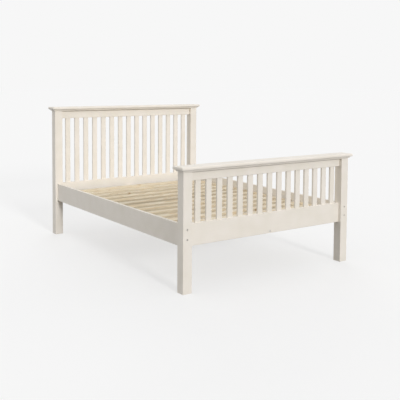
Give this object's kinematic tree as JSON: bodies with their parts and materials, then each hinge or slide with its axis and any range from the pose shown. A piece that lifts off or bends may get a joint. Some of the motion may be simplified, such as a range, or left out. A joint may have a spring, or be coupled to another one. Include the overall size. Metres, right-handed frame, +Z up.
{
  "type": "bed frame",
  "caption": "Painted wooden bed frame: slatted head end and lower foot end under moulded cap rails, bolted side rails and a slatted deck on a centre rail.",
  "frame": {"origin": "on the floor under the middle of the bed", "axes": "+Z up, +Y towards the head end, +X to the right seen from the foot end"},
  "size_m": [1.503, 2.097, 1.093],
  "materials": {
    "painted_wood": "satin cream lacquer on softwood",
    "bare_pine": "planed bare pine",
    "beech": "fluted beech dowel",
    "zinc_steel": "bright zinc plate",
    "nylon": "moulded brown nylon"
  },
  "bodies": {
    "root": {"foot_post_left": "painted_wood", "foot_post_right": "painted_wood", "head_post_left": "painted_wood", "head_post_right": "painted_wood", "foot_cap": "painted_wood", "head_cap": "painted_wood", "foot_lower_rail": "painted_wood", "foot_top_rail": "painted_wood", "head_lower_rail": "painted_wood", "head_top_rail": "painted_wood", "side_rail_left": "painted_wood", "side_rail_right": "painted_wood", "foot_slat_01": "painted_wood", "foot_slat_02": "painted_wood", "foot_slat_03": "painted_wood", "foot_slat_04": "painted_wood", "foot_slat_05": "painted_wood", "foot_slat_06": "painted_wood", "foot_slat_07": "painted_wood", "foot_slat_08": "painted_wood", "foot_slat_09": "painted_wood", "foot_slat_10": "painted_wood", "foot_slat_11": "painted_wood", "foot_slat_12": "painted_wood", "foot_slat_13": "painted_wood", "foot_slat_14": "painted_wood", "foot_slat_15": "painted_wood", "head_slat_01": "painted_wood", "head_slat_02": "painted_wood", "head_slat_03": "painted_wood", "head_slat_04": "painted_wood", "head_slat_05": "painted_wood", "head_slat_06": "painted_wood", "head_slat_07": "painted_wood", "head_slat_08": "painted_wood", "head_slat_09": "painted_wood", "head_slat_10": "painted_wood", "head_slat_11": "painted_wood", "head_slat_12": "painted_wood", "head_slat_13": "painted_wood", "head_slat_14": "painted_wood", "head_slat_15": "painted_wood", "ledger_left": "bare_pine", "ledger_right": "bare_pine", "bed_slats": "bare_pine", "centre_rail": "bare_pine", "centre_block_foot": "bare_pine", "centre_block_head": "bare_pine", "centre_leg": "bare_pine", "cap_dowels": "beech", "rail_dowels": "beech", "rail_bolts": "zinc_steel", "barrel_nuts": "zinc_steel", "block_bolts": "zinc_steel", "block_inserts": "zinc_steel", "leg_stud": "zinc_steel", "leg_glide": "nylon"}
  },
  "joints": []
}
